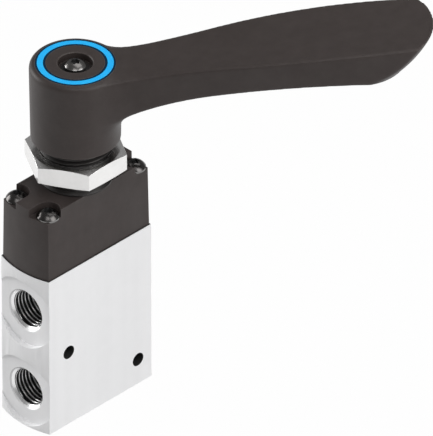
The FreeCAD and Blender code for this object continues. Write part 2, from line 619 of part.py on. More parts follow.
def makeLever():
    body = doc.addObject("PartDesign::Body", "leverMoulding")
    # Side view of the arm: two long arcs that run up from the hub
    side = outline(newSketch(body, "armSideView", "XZ_Plane"), [
        ("armRoot", "%s - armUndersideRoot" % hubTop, "armUndersideRadius", -1),
        ("armUndersideReach", "%s + armUndersideTip" % hubTop),
        ("leverReach + 2 * overcut", "%s + armUndersideTip" % hubTop),
        ("leverReach + 2 * overcut", "%s + armTopTip" % hubTop, "armTopRadius", 1),
        ("armRoot", "%s - armTopRoot" % hubTop)])
    arm = body.newObject("PartDesign::Pad", "arm")
    arm.Profile = side
    arm.Midplane = True
    bind(arm, Length="armWidth + 4 * overcut")
    doc.recompute()
    # Plan view: a slim neck that opens into the broad grip
    plan = newSketch(body, "armPlanView", "XY_Plane")
    for sign in (1, -1):
        outline(plan, [
            ("0", "%d * neckWidth / 2" % sign),
            ("neckEnd", "%d * neckWidth / 2" % sign, "neckRadius", sign),
            (neckJoin, "%d * %s" % (sign, neckJoinHalf), "armSideRadius", -sign),
            ("leverReach + tipOver", "%d * %s" % (sign, tipHalf)),
            ("leverReach + tipOver", "%d * (armWidth / 2 + tipOver)" % sign),
            ("0", "%d * (armWidth / 2 + tipOver)" % sign)])
    trim = body.newObject("PartDesign::Pocket", "armSides")
    trim.Profile = plan
    trim.Type = "ThroughAll"
    trim.Midplane = True
    doc.recompute()
    # The tip is a round bow, undercut towards the underside
    bow = newSketch(body, "armBow", "XZ_Plane")
    outline(bow, [
        ("bowAxis + bowLowRadius", "%s - 2 * overcut" % hubTop),
        ("bowAxis + bowLowRadius", "%s + armUndersideTip" % hubTop, "bowCurve", 1),
        ("leverReach", "%s + armTopTip" % hubTop),
        ("leverReach", "%s + armTopTip + 3 * overcut" % hubTop),
        ("leverReach + hubTopDiameter", "%s + armTopTip + 3 * overcut" % hubTop),
        ("leverReach + hubTopDiameter", "%s - 2 * overcut" % hubTop)])
    axis = bow.addGeometry(Part.LineSegment(
        FreeCAD.Vector(valueOf("bowAxis"), 0, 0), FreeCAD.Vector(valueOf("bowAxis"), 10, 0)), True)
    bow.addConstraint(Sketcher.Constraint("Vertical", axis))
    bindConstraint(bow, bow.addConstraint(
        Sketcher.Constraint("DistanceX", -1, 1, axis, 1, valueOf("bowAxis"))), "bowAxis")
    tip = body.newObject("PartDesign::Groove", "armTip")
    tip.Profile = bow
    tip.ReferenceAxis = (bow, ["Axis0"])
    tip.Midplane = True
    tip.Angle = 180
    doc.recompute()
    rootX = valueOf("armRoot")
    edges = ["Edge%d" % (number + 1) for number, edge in enumerate(tip.Shape.Edges)
             if edge.BoundBox.XMax > rootX + 1]
    rounding = body.newObject("PartDesign::Fillet", "armEdges")
    rounding.Base = (tip, edges)
    bind(rounding, Radius="edgeRounding")
    doc.recompute()
    # Hub
    topRadius = "(hubTopDiameter / 2)"
    hubSection = outline(newSketch(body, "hubSection", "XZ_Plane"), [
        ("0", hubBase),
        ("hubBaseDiameter / 2", hubBase),
        (topRadius, "%s - hubRounding" % hubTop, "hubRounding", 1),
        (topRadius + " - hubRounding", hubTop),
        ("0", hubTop)])
    hub = body.newObject("PartDesign::Revolution", "hub")
    hub.Profile = hubSection
    hub.ReferenceAxis = (hubSection, ["V_Axis"])
    hub.Angle = 360
    doc.recompute()
    # The neck blends into the hub
    blend = body.newObject("PartDesign::Fillet", "neckBlending")
    blend.Base = (hub, neckEdges(hub.Shape))
    bind(blend, Radius="neckBlend")
    doc.recompute()
    # Seat of the marker ring, recess of the lever screw and the hollow underside
    bossRadius = "hubBoss / 2"
    shellRadius = "hubBaseDiameter / 2 - hubWall"
    seats = newSketch(body, "hubSeats", "XZ_Plane")
    outline(seats, [
        ("ringInner / 2", "%s - ringThickness" % hubTop),
        ("ringOuter / 2", "%s - ringThickness" % hubTop),
        ("ringOuter / 2", "%s + overcut" % hubTop),
        ("ringInner / 2", "%s + overcut" % hubTop)])
    outline(seats, [
        ("0", "%s - overcut" % spindleTop),
        ("screwThread / 2 + screwGap", "%s - overcut" % spindleTop),
        ("screwThread / 2 + screwGap", recessFloor),
        ("recessDiameter / 2", recessFloor),
        ("recessDiameter / 2", "%s + overcut" % hubTop),
        ("0", "%s + overcut" % hubTop)])
    outline(seats, [
        (bossRadius, "%s - overcut" % hubBase),
        (shellRadius, "%s - overcut" % hubBase),
        (shellRadius, "%s - hubRoof - hollowDrop" % hubTop),
        (bossRadius, "%s - hubRoof - hollowDrop" % hubTop)])
    hollow = body.newObject("PartDesign::Groove", "hubHollow")
    hollow.Profile = seats
    hollow.ReferenceAxis = (seats, ["V_Axis"])
    hollow.Angle = 360
    doc.recompute()
    body.Placement.Rotation = FreeCAD.Rotation(FreeCAD.Vector(0, 0, 1), 0)
    bind(body, **{"Placement.Rotation.Angle": "leverAngle * 1 deg"})
    socketRound = rod("socketRound", "spindleDiameter + 2 * runningGap",
                      "%s - %s + 2 * overcut + runningGap" % (spindleTop, hubBase),
                      z="%s - 2 * overcut" % hubBase)
    socketFlats = block("socketFlats", ("0 - spindleDiameter", "0 - spindleFlats / 2 - runningGap",
                                        "%s - 3 * overcut" % hubBase),
                        ("spindleDiameter", "spindleFlats / 2 + runningGap", "%s + 2 * overcut" % spindleTop))
    cut("lever_handle", body, [common("driveSocket", socketRound, socketFlats)])
    ring("marker_ring", "ringOuter - 2 * runningGap", "ringInner + 2 * runningGap",
         "%s - ringThickness" % hubTop, hubTop)
    ring("lever_washer", "washerDiameter", "screwThread + 2 * screwGap",
         recessFloor, "%s + washerThickness" % recessFloor)
    seat = "(%s + washerThickness)" % recessFloor
    screwEnd = "(%s + recessDepth - leverScrewLength + looseGap)" % recessFloor
    screw = domedScrew("leverScrewTurned", "screwThread", "leverScrewHead", "leverScrewFlange",
                       "leverScrewDome", seat, screwEnd)
    socket = hexBar("leverScrewSocket", "socketSize", "socketDepth + overcut",
                    z="%s + leverScrewFlange + leverScrewDome - socketDepth" % seat)
    cut("lever_screw", screw, [socket])


def makeCamDrive():
    bore = "(barrelBore / 2)"
    outer = "(barrelDiameter / 2)"
    body = doc.addObject("PartDesign::Body", "barrelTube")
    section = outline(newSketch(body, "barrelSection", "XZ_Plane"), [
        (bore, "barrelBase"),
        (outer, "barrelBase"),
        (outer, barrelTop),
        ("spindleSpigot / 2 + runningGap", barrelTop),
        ("spindleSpigot / 2 + runningGap", webBase),
        (bore, webBase)])
    tube = body.newObject("PartDesign::Revolution", "barrelTurn")
    tube.Profile = section
    tube.ReferenceAxis = (section, ["V_Axis"])
    tube.Angle = 360
    doc.recompute()
    # Two helical slots that turn the lever's quarter turn into the spool's stroke
    slotSection = outline(newSketch(body, "slotSection", "YZ_Plane"), [
        (bore + " - overcut / 2", "crossPinHeight - slotHeight / 2"),
        (outer + " + overcut / 2", "crossPinHeight - slotHeight / 2"),
        (outer + " + overcut / 2", "crossPinHeight + slotHeight / 2"),
        (bore + " - overcut / 2", "crossPinHeight + slotHeight / 2")])
    slot = body.newObject("PartDesign::SubtractiveHelix", "camSlot")
    slot.Profile = slotSection
    slot.ReferenceAxis = (slotSection, ["V_Axis"])
    slot.Mode = 0
    slot.LeftHanded = True
    bind(slot, Pitch="spoolStroke * 360 / leverTravel", Height="spoolStroke")
    doc.recompute()
    pair = body.newObject("PartDesign::PolarPattern", "camSlotPair")
    pair.Originals = [slot]
    pair.Axis = (slotSection, ["V_Axis"])
    pair.Angle = 360
    pair.Occurrences = 2
    body.Tip = pair
    doc.recompute()
    slotEnd = "rollerDiameter + 2 * looseGap"
    across = "(barrelDiameter + 2 * overcut)"
    lowEnd = rod("slotLowEnd", slotEnd, across, y="0 - %s / 2" % across, z="crossPinHeight", along="Y")
    highEnd = rod("slotHighEnd", slotEnd, across, x="0 - %s / 2" % across,
                  z="crossPinHeight + spoolStroke", along="X")
    pinHole = rod("drivePinHoleInBarrel", "drivePin + 2 * pinGap", across, x="0 - %s / 2" % across,
                  z=drivePinHeight, along="X")
    cut("cam_barrel", body, [lowEnd, highEnd, pinHole])
    rod("cam_pin", "drivePin", "barrelDiameter - 2 * pinInset", x="pinInset - barrelDiameter / 2",
        z=drivePinHeight, along="X")


def makeGuideSleeve():
    inner = "(barrelDiameter + 2 * runningGap)"
    outer = "(cavityBore - 2 * runningGap)"
    tube = ring("sleeveTube", outer, inner, bodyTop, sleeveTop)
    reach = "(cavityBore / 2 + tabReach)"
    tabs = cut("sleeveTabs",
               block("sleeveTabBar", ("0 - tabWidth / 2", "0 - " + reach, bodyTop),
                     ("tabWidth / 2", reach, "%s + tabHeight" % bodyTop)),
               [rod("sleeveTabCore", "(%s + %s) / 2" % (inner, outer), "tabHeight + 2 * overcut",
                    z="bodyHeight - overcut")])
    slotWidth = "(crossPin + 2 * runningGap)"
    lowEnd = rod("guideSlotLow", slotWidth, "3 * cavityBore", y="0 - 1.5 * cavityBore",
                 z="crossPinHeight - looseGap", along="Y")
    highEnd = rod("guideSlotHigh", slotWidth, "3 * cavityBore", y="0 - 1.5 * cavityBore",
                  z="crossPinHeight + spoolStroke + looseGap", along="Y")
    run = block("guideSlotRun", ("0 - %s / 2" % slotWidth, "0 - 1.5 * cavityBore", "crossPinHeight - looseGap"),
                ("%s / 2" % slotWidth, "1.5 * cavityBore", "crossPinHeight + spoolStroke + looseGap"))
    cut("guide_sleeve", fuse("sleeveForm", [tube, tabs]), [lowEnd, highEnd, run])


# Heights along the spool bore
bumperTop = "(boreFloor + bumperThickness)"
lowSeal = "(%s - %s / 2)" % (backPortHeight, cagePitch)
highSeal = "(%s + %s / 2)" % (backPortHeight, cagePitch)
topSeal = "(upperPortHeight + topSealRise)"
sealHalf = "(sealSection / 2 + runningGap)"
retainerBase = "(%s + %s)" % (topSeal, sealHalf)
clipBase = "(%s + retainerThickness + looseGap)" % retainerBase
spoolEnd = "(%s + looseGap)" % bumperTop
landTop = "(%s - sealSection / 2 - landInset)" % lowSeal
waistTop = "(%s - sealSection / 2 - waistInset)" % highSeal
plungerBase = "(crossPinHeight - plungerBelowPin)"
shoulder = "(%s - lockNutThickness - runningGap)" % plungerBase


def makeSpoolStack():
    cages = []
    levels = [
        ("lowerCage", "lowerPortHeight", bumperTop, "(%s - %s)" % (lowSeal, sealHalf)),
        ("middleCage", backPortHeight, "(%s + %s)" % (lowSeal, sealHalf), "(%s - %s)" % (highSeal, sealHalf)),
        ("upperCage", "upperPortHeight", "(%s + %s)" % (highSeal, sealHalf),
         "(%s - %s)" % (topSeal, sealHalf))]
    outer = "(spoolBore / 2 - runningGap)"
    lip = "(spoolDiameter / 2 + looseGap)"
    for name, port, low, high in levels:
        sleeve = turned(name + "Sleeve", [
            (lip, low),
            (outer, low),
            (outer, high),
            (lip, high),
            (lip, "%s - cageLip" % high),
            ("cageBore / 2", "%s - cageLip" % high),
            ("cageBore / 2", "%s + cageLip" % low),
            (lip, "%s + cageLip" % low)])
        windows = [rod(name + "Window" + way, "cageWindow", "2 * spoolBore", z=port, along=way,
                       **{way.lower(): "0 - spoolBore"}) for way in ("X", "Y")]
        cages.append(cut(name, sleeve, windows))
    group("seal_spacers", cages)
    rings = []
    for name, level in (("lowerRing", lowSeal), ("middleRing", highSeal), ("upperRing", topSeal)):
        seal = doc.addObject("Part::Torus", name)
        bind(seal, Radius1="(spoolBore + spoolDiameter) / 4", Radius2="sealSection / 2")
        rings.append(place(seal, z=level))
    group("seal_rings", rings)
    ring("bottom_bumper", "spoolBore - 2 * looseGap", "spoolTail / 2", "boreFloor", bumperTop)
    ring("seal_retainer", "spoolBore - 2 * runningGap", "spoolDiameter + 2 * looseGap",
         retainerBase, "%s + retainerThickness" % retainerBase)
    clip = ring("clipRing", "spoolBore + 2 * clipGrooveDepth - 2 * runningGap", "spoolBore - 2 * clipReach",
                clipBase, "%s + clipThickness" % clipBase)
    clipGap = block("clipGap", ("0 - clipOpening / 2", "0", "%s - overcut" % clipBase),
                    ("clipOpening / 2", "spoolBore", "%s + clipThickness + 2 * overcut" % clipBase))
    cut("bore_retaining_ring", clip, [clipGap])


def makeSpool():
    land = "spoolDiameter / 2"
    turned("spool", [
        ("0", spoolEnd),
        ("spoolTail / 2", spoolEnd),
        ("spoolTail / 2", "%s - spoolStroke" % landTop),
        (land, "%s - spoolStroke" % landTop),
        (land, landTop),
        ("spoolWaist / 2", "%s + waistSlope" % landTop),
        ("spoolWaist / 2", "%s - waistSlope" % waistTop),
        (land, waistTop),
        (land, shoulder),
        ("spoolStud / 2", shoulder),
        ("spoolStud / 2", "%s + studLength" % shoulder),
        ("0", "%s + studLength" % shoulder)])
    nut = hexBar("lockNutBar", "lockNutFlats", "lockNutThickness", z=shoulder)
    threadHole = rod("lockNutHole", "spoolStud + 2 * runningGap", "lockNutThickness + 2 * overcut",
                     z="%s - overcut" % shoulder)
    cut("spool_lock_nut", nut, [threadHole])
    plungerRadius = "(barrelBore / 2 - runningGap)"
    plungerTop = "(crossPinHeight + plungerAbovePin)"
    studTop = "(%s + studLength + looseGap)" % shoulder
    core = turned("plungerCore", [
        ("spoolStud / 2 + runningGap", plungerBase),
        (plungerRadius, plungerBase),
        (plungerRadius, plungerTop + " - plungerChamfer"),
        (plungerRadius + " - plungerChamfer", plungerTop),
        ("0", plungerTop),
        ("0", studTop),
        ("spoolStud / 2 + runningGap", studTop)])
    cut("plunger", core, [rod("crossPinHole", "crossPin + 2 * pinGap", "2 * barrelBore", y="0 - barrelBore",
                              z="crossPinHeight", along="Y")])
    pinReach = "(cavityBore / 2 - 3 * looseGap)"
    rod("cross_pin", "crossPin", "2 * " + pinReach, y="0 - " + pinReach, z="crossPinHeight", along="Y")
    rollerIn = "(barrelBore / 2 + looseGap)"
    rollerLength = "(barrelWall - 4 * looseGap)"
    rollers = []
    for name, start in (("backRoller", rollerIn), ("frontRoller", "0 - %s - %s" % (rollerIn, rollerLength))):
        wheel = rod(name + "Wheel", "rollerDiameter", rollerLength, y=start, z="crossPinHeight", along="Y")
        hole = rod(name + "Hole", "crossPin + 2 * runningGap", "%s + 2 * overcut" % rollerLength,
                   y="%s - overcut" % start, z="crossPinHeight", along="Y")
        rollers.append(cut(name, wheel, [hole]))
    group("follower_rollers", rollers)


makeValveBody()
makeGasket()
makeHousing()
makeHousingScrews()
makeBushAndNut()
makeSpindle()
makeLever()
makeCamDrive()
makeGuideSleeve()
makeSpoolStack()
makeSpool()
doc.recompute()

nodes = [
    "valve_body", "housing_gasket", "actuator_housing", "housing_screws",
    "panel_bush", "panel_nut", "stop_pin", "dust_seal",
    "guide_sleeve", "seal_spacers", "seal_rings", "seal_retainer", "bore_retaining_ring", "bottom_bumper",
    "lever_handle", "marker_ring", "lever_screw", "lever_washer",
    "spindle", "spindle_o_ring", "thrust_washer", "cam_barrel", "cam_pin",
    "spool", "spool_lock_nut", "plunger", "cross_pin", "follower_rollers",
]
for item in doc.Objects:
    if "Invalid" in item.State or "Error" in item.State:
        raise RuntimeError("not built: " + item.Name)
os.makedirs("parts", exist_ok=True)
for node in nodes:
    piece = doc.getObject(node)
    piece.Label = node
    if piece.Shape.isNull() or not piece.Shape.isValid():
        raise RuntimeError("bad shape: " + node)
for node in nodes:
    shape = doc.getObject(node).Shape
    shape.exportStep("parts/%s.step" % node)
    print(node, len(shape.Solids), round(shape.Volume, 2))
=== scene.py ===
import math

import bmesh
import bpy
import numpy as np
from mathutils import Matrix, Vector


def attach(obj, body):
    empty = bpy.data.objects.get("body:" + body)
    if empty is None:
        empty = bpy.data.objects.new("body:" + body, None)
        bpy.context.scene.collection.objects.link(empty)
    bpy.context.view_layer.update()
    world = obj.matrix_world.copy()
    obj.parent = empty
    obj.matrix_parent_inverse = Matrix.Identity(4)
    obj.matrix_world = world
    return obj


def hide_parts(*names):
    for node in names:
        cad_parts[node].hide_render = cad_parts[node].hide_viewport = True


mm = 0.001
mergeGap = 0.0005 * mm
flatAngle = 0.15  # degrees
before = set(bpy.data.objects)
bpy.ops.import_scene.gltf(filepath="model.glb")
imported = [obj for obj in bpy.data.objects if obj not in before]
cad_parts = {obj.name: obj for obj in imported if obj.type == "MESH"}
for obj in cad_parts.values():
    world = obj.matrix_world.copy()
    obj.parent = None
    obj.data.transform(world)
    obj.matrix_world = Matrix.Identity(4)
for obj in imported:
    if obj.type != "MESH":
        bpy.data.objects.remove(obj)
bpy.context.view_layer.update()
print("frame loaded", len(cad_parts))


# Shader helpers

def tone(red, green, blue):  # screen colour, 0 to 255, as a linear colour
    def linear(value):
        value = value / 255
        return value / 12.92 if value <= 0.04045 else ((value + 0.055) / 1.055) ** 2.4
    return (linear(red), linear(green), linear(blue), 1)


def addNode(tree, kind, sockets=None, **settings):
    node = tree.nodes.new(kind)
    for name, value in settings.items():
        setattr(node, name, value)
    for name, value in (sockets or {}).items():
        node.inputs[name].default_value = value
    return node


def join(tree, start, end):
    tree.links.new(start, end)


def newGroup(name, inputs, outputs):
    group = bpy.data.node_groups.new(name, "ShaderNodeTree")
    for label, kind, value in inputs:
        socket = group.interface.new_socket(label, in_out="INPUT", socket_type=kind)
        if value is not None:
            socket.default_value = value
    for label, kind in outputs:
        group.interface.new_socket(label, in_out="OUTPUT", socket_type=kind)
    return group, addNode(group, "NodeGroupInput"), addNode(group, "NodeGroupOutput")


def noise(tree, vector, scale, detail=3.0, roughness=0.55):
    node = addNode(tree, "ShaderNodeTexNoise", {"Scale": scale, "Detail": detail, "Roughness": roughness})
    join(tree, vector, node.inputs["Vector"])
    return node.outputs["Fac"]


def spread(tree, value, low, high, newLow, newHigh):  # maps a varying value to another range
    node = addNode(tree, "ShaderNodeMapRange", {"From Min": low, "From Max": high,
                                                "To Min": newLow, "To Max": newHigh})
    join(tree, value, node.inputs["Value"])
    return node.outputs["Result"]


def setOrJoin(tree, value, socket):  # value: a fixed one, or another node's output
    if isinstance(value, bpy.types.NodeSocket):
        join(tree, value, socket)
    else:
        socket.default_value = value


def combine(tree, operation, first, second):
    node = addNode(tree, "ShaderNodeMath", operation=operation)
    setOrJoin(tree, first, node.inputs[0])
    setOrJoin(tree, second, node.inputs[1])
    return node.outputs[0]


def scaled(tree, vector, factors):
    node = addNode(tree, "ShaderNodeVectorMath", operation="MULTIPLY")
    node.inputs[1].default_value = factors
    join(tree, vector, node.inputs[0])
    return node.outputs[0]


def blendColour(tree, mask, first, second):
    node = addNode(tree, "ShaderNodeMix", data_type="RGBA")
    join(tree, mask, node.inputs["Factor"])
    setOrJoin(tree, first, node.inputs[6])  # 6 and 7 are the colour sockets
    setOrJoin(tree, second, node.inputs[7])
    return node.outputs[2]


def useGroup(tree, group, vector=None, **values):
    node = addNode(tree, "ShaderNodeGroup", node_tree=group)
    if vector is not None:
        join(tree, vector, node.inputs["Vector"])
    for name, value in values.items():
        node.inputs[name].default_value = value
    return node


# Effects that several materials share

def makeGrainGroup():  # fine height for the bump, slow mottle and smudge
    group, start, end = newGroup("surface grain", [
        ("Vector", "NodeSocketVector", None), ("Size", "NodeSocketFloat", 0.3)], [
        ("Height", "NodeSocketFloat"), ("Mottle", "NodeSocketFloat"), ("Smudge", "NodeSocketFloat")])
    perSize = combine(group, "DIVIDE", 1000, start.outputs["Size"])
    fine = addNode(group, "ShaderNodeTexNoise", {"Detail": 2.0, "Roughness": 0.6})
    join(group, start.outputs["Vector"], fine.inputs["Vector"])
    join(group, perSize, fine.inputs["Scale"])
    cells = addNode(group, "ShaderNodeTexVoronoi")
    join(group, start.outputs["Vector"], cells.inputs["Vector"])
    join(group, combine(group, "MULTIPLY", perSize, 0.7), cells.inputs["Scale"])
    height = combine(group, "ADD", combine(group, "MULTIPLY", fine.outputs["Fac"], 0.7),
                     combine(group, "MULTIPLY", cells.outputs["Distance"], 0.3))
    join(group, height, end.inputs["Height"])
    join(group, noise(group, start.outputs["Vector"], 260, 4.0, 0.6), end.inputs["Mottle"])
    drawnOut = scaled(group, start.outputs["Vector"], (1, 1, 0.35))
    join(group, noise(group, drawnOut, 75, 5.0, 0.65), end.inputs["Smudge"])
    return group


def makeEdgeSheenGroup():  # 1 along outer edges: the mask for a painted edge highlight, with patchy rubbed wear
    group, start, end = newGroup("edge highlight and wear", [
        ("Vector", "NodeSocketVector", None), ("Reach", "NodeSocketFloat", 0.0004)], [
        ("Mask", "NodeSocketFloat")])
    soft = addNode(group, "ShaderNodeBevel", samples=4)
    join(group, start.outputs["Reach"], soft.inputs["Radius"])
    facing = addNode(group, "ShaderNodeNewGeometry")
    along = addNode(group, "ShaderNodeVectorMath", operation="DOT_PRODUCT")
    join(group, soft.outputs["Normal"], along.inputs[0])
    join(group, facing.outputs["Normal"], along.inputs[1])
    bent = spread(group, along.outputs["Value"], 0.995, 0.86, 0, 1)
    patchy = spread(group, noise(group, start.outputs["Vector"], 900, 3.0), 0.35, 0.65, 0.35, 1)
    join(group, combine(group, "MULTIPLY", bent, patchy), end.inputs["Mask"])
    return group


def makeTurnedGroup():  # fine rings round Z, left by turning
    group, start, end = newGroup("turned rings", [
        ("Vector", "NodeSocketVector", None), ("Pitch", "NodeSocketFloat", 0.12)], [
        ("Height", "NodeSocketFloat")])
    parts = addNode(group, "ShaderNodeSeparateXYZ")
    join(group, start.outputs["Vector"], parts.inputs[0])
    flat = addNode(group, "ShaderNodeCombineXYZ")
    join(group, parts.outputs["X"], flat.inputs["X"])
    join(group, parts.outputs["Y"], flat.inputs["Y"])
    radius = addNode(group, "ShaderNodeVectorMath", operation="LENGTH")
    join(group, flat.outputs[0], radius.inputs[0])
    reach = combine(group, "ADD", radius.outputs["Value"], combine(group, "MULTIPLY", parts.outputs["Z"], 0.8))
    lines = addNode(group, "ShaderNodeTexNoise", {"Detail": 2.0, "Roughness": 0.7}, noise_dimensions="1D")
    join(group, reach, lines.inputs["W"])
    join(group, combine(group, "DIVIDE", 1000, start.outputs["Pitch"]), lines.inputs["Scale"])
    join(group, lines.outputs["Fac"], end.inputs["Height"])
    return group


def makeDrawnGroup():  # faint lines drawn along Z, as on a bar's flanks
    group, start, end = newGroup("drawn lines", [
        ("Vector", "NodeSocketVector", None)], [("Height", "NodeSocketFloat"), ("Bands", "NodeSocketFloat")])
    drawnOut = scaled(group, start.outputs["Vector"], (1, 1, 0.02))
    join(group, noise(group, drawnOut, 5200, 2.0, 0.6), end.inputs["Height"])
    join(group, noise(group, drawnOut, 240, 2.0, 0.5), end.inputs["Bands"])
    return group


grainGroup = makeGrainGroup()
edgeSheenGroup = makeEdgeSheenGroup()
turnedGroup = makeTurnedGroup()
drawnGroup = makeDrawnGroup()


def newMaterial(name, attribute=None, **sockets):  # one Principled shader and its coordinates
    material = bpy.data.materials.new(name)
    material.use_nodes = True
    tree = material.node_tree
    tree.nodes.clear()
    shader = addNode(tree, "ShaderNodeBsdfPrincipled", sockets)
    end = addNode(tree, "ShaderNodeOutputMaterial")
    join(tree, shader.outputs[0], end.inputs["Surface"])
    if attribute:
        where = addNode(tree, "ShaderNodeAttribute", attribute_name=attribute).outputs["Vector"]
    else:
        where = addNode(tree, "ShaderNodeTexCoord").outputs["Object"]
    return material, tree, shader, where


def addBump(tree, shader, height, distance):
    bump = addNode(tree, "ShaderNodeBump", {"Distance": distance * mm})
    join(tree, height, bump.inputs["Height"])
    join(tree, bump.outputs["Normal"], shader.inputs["Normal"])


looks = {}
noiseMiddle = (0.3, 0.7)  # the range in which a noise mostly lies
# Painted highlight along edges, partly rubbed wear: its reach in mm, colour share and the edges' polish
plasticEdgeSheen = {"reach": 0.45, "tint": 0.5, "polish": 0.08}
metalEdgeSheen = {"reach": 0.3, "tint": 0.7}
metalShares = {"grainUnderRings": 0.4, "drawnHeight": 0.35, "mottle": 0.4, "bands": 0.6}


def makePlastic(name, dark, light, edge, rough, grain, bumpDepth, specular):
    material, tree, shader, where = newMaterial(name, **{"Specular IOR Level": specular})
    surface = useGroup(tree, grainGroup, where, Size=grain)
    edgeSheen = useGroup(tree, edgeSheenGroup, where, Reach=plasticEdgeSheen["reach"] * mm).outputs["Mask"]
    mottle = spread(tree, surface.outputs["Mottle"], *noiseMiddle, 0, 1)
    base = blendColour(tree, mottle, tone(*dark), tone(*light))
    # Painted highlight along edges, partly rubbed wear: the edge colour is blended in where the edge mask is high
    colour = blendColour(tree, combine(tree, "MULTIPLY", edgeSheen, plasticEdgeSheen["tint"]), base, tone(*edge))
    join(tree, colour, shader.inputs["Base Color"])
    gloss = spread(tree, surface.outputs["Smudge"], *noiseMiddle, rough[1], rough[0])
    gloss = combine(tree, "SUBTRACT", gloss, combine(tree, "MULTIPLY", edgeSheen, plasticEdgeSheen["polish"]))
    join(tree, gloss, shader.inputs["Roughness"])
    addBump(tree, shader, surface.outputs["Height"], bumpDepth)
    looks[name] = material


def makeMetal(name, dark, light, rough, grain, bumpDepth, turned=0.0, drawn=False, attribute=None, edge=None,
              **sockets):
    material, tree, shader, where = newMaterial(name, attribute, **sockets)
    if "Anisotropic" in sockets:
        join(tree, scaled(tree, where, (1, 1, 0)), shader.inputs["Tangent"])
    surface = useGroup(tree, grainGroup, where, Size=grain)
    mottle = surface.outputs["Mottle"]
    height = surface.outputs["Height"]
    if turned:
        rings = useGroup(tree, turnedGroup, where, Pitch=turned)
        height = combine(tree, "ADD", combine(tree, "MULTIPLY", height, metalShares["grainUnderRings"]),
                         rings.outputs["Height"])
    if drawn:
        lines = useGroup(tree, drawnGroup, where)
        height = combine(tree, "ADD", height,
                         combine(tree, "MULTIPLY", lines.outputs["Height"], metalShares["drawnHeight"]))
        mottle = combine(tree, "ADD", combine(tree, "MULTIPLY", mottle, metalShares["mottle"]),
                         combine(tree, "MULTIPLY", lines.outputs["Bands"], metalShares["bands"]))
    colour = blendColour(tree, spread(tree, mottle, *noiseMiddle, 0, 1), tone(*dark), tone(*light))
    gloss = spread(tree, surface.outputs["Smudge"], *noiseMiddle, rough[1], rough[0])
    # Painted highlight along edges, partly rubbed wear
    if edge:
        edgeSheen = useGroup(tree, edgeSheenGroup, where, Reach=metalEdgeSheen["reach"] * mm).outputs["Mask"]
        colour = blendColour(tree, combine(tree, "MULTIPLY", edgeSheen, metalEdgeSheen["tint"]), colour, tone(*edge))
    join(tree, colour, shader.inputs["Base Color"])
    join(tree, gloss, shader.inputs["Roughness"])
    addBump(tree, shader, height, bumpDepth)
    looks[name] = material


# Name, dark, light, painted edge highlight (partly rubbed wear), roughness, grain in mm, bump in mm, specular
# level
for entry in (
    ("black plastic", (52, 45, 43), (58, 51, 49), (122, 114, 110), (0.42, 0.54), 0.16, 0.012, 0.34),
    ("housing plastic", (53, 46, 44), (59, 52, 50), (82, 76, 74), (0.5, 0.64), 0.16, 0.012, 0.4),
    ("bearing plastic", (222, 216, 198), (234, 229, 214), (244, 240, 228), (0.38, 0.5), 0.25, 0.012, 0.5),
    ("black rubber", (22, 22, 22), (30, 30, 30), (48, 48, 48), (0.66, 0.8), 0.1, 0.02, 0.5),
    # Dark navy painted shadow for the gap round the marker ring
    ("painted blue gap shade", (1, 38, 62), (2, 44, 68), (4, 48, 74), (0.7, 0.8), 0.05, 0.002, 0.12),
    ("blue plastic", (12, 176, 250), (26, 188, 255), (90, 205, 255), (0.3, 0.4), 0.3, 0.004, 0.5),
):
    makePlastic(*entry)

# Name, dark, light, roughness, grain in mm, bump in mm, then what is special; edge is the colour of a painted edge
# highlight, partly rubbed wear
# The body gets a white painted highlight along its edges
makeMetal("body aluminium", (245, 245, 246), (250, 250, 251), (0.36, 0.46), 0.14, 0.006, drawn=True,
          edge=(254, 254, 254), Metallic=0.15)
# Near-black painted shade for the insides of holes, ports, the central bore and screw sockets
makeMetal("painted bore shade", (40, 40, 40), (52, 52, 52), (0.5, 0.6), 0.2, 0.006, **{"Specular IOR Level": 0.2})
makeMetal("cut aluminium", (236, 236, 237), (248, 248, 248), (0.22, 0.32), 0.2, 0.002, Metallic=0.9)
# Painted shade for the port threads' flanks and roots, which are the same aluminium
makeMetal("painted thread shade", (46, 46, 47), (60, 60, 61), (0.36, 0.46), 0.2, 0.003, Metallic=0.8)
makeMetal("bright nut", (242, 241, 240), (251, 250, 249), (0.1, 0.17), 0.35, 0.0012, turned=0.25, Metallic=0.4)
makeMetal("nut face", (240, 239, 238), (249, 248, 247), (0.2, 0.26), 0.35, 0.001, turned=0.25, Metallic=1.0,
          Anisotropic=0.8)
# The bush gets a lighter painted highlight on its thread crests and edges
makeMetal("black bush", (31, 29, 28), (40, 37, 36), (0.34, 0.44), 0.15, 0.004, edge=(90, 88, 86), Metallic=0.4)
makeMetal("dark steel", (72, 70, 69), (88, 86, 85), (0.2, 0.28), 0.2, 0.0015, turned=0.1, attribute="around",
          Metallic=1.0)
makeMetal("grey steel", (112, 110, 108), (130, 128, 126), (0.22, 0.28), 0.2, 0.0015, turned=0.1,
          attribute="around", Metallic=1.0)
makeMetal("lit rim", (118, 117, 116), (132, 131, 130), (0.16, 0.22), 0.1, 0.002, Metallic=0.9)
makeMetal("plain steel", (170, 170, 172), (190, 190, 192), (0.25, 0.36), 0.2, 0.003, turned=0.12, Metallic=1.0)
makeMetal("brass", (196, 160, 88), (214, 180, 108), (0.24, 0.34), 0.2, 0.003, turned=0.15, Metallic=1.0)
print("materials", len(looks))

